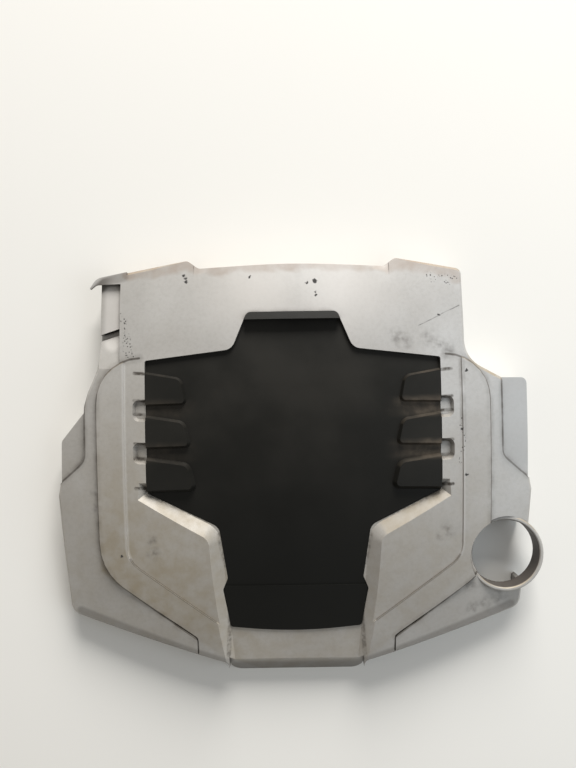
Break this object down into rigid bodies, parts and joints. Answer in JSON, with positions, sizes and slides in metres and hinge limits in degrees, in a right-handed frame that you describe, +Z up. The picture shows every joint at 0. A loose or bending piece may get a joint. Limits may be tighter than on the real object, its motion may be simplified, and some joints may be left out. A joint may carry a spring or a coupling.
{
  "type": "engine cover",
  "caption": "Moulded plastic cover for a V engine: silver shell with raised banks and a filler collar, black ribbed centre panel, rubber push-on grommets.",
  "frame": {"origin": "middle of the cover's box in plan, on the plane of its rim", "axes": "+X to the cover's right-hand side, +Y to its rear, +Z up out of its face"},
  "size_m": [0.5606, 0.4896, 0.0683],
  "materials": {
    "silver_paint": "satin silver paint on plastic, dusty and chipped",
    "black_plastic": "black grained plastic",
    "grommet_rubber": "matt black rubber"
  },
  "bodies": {
    "root": {"cover_shell": "silver_paint", "centre_panel": "black_plastic", "grommets": "grommet_rubber"}
  },
  "joints": []
}
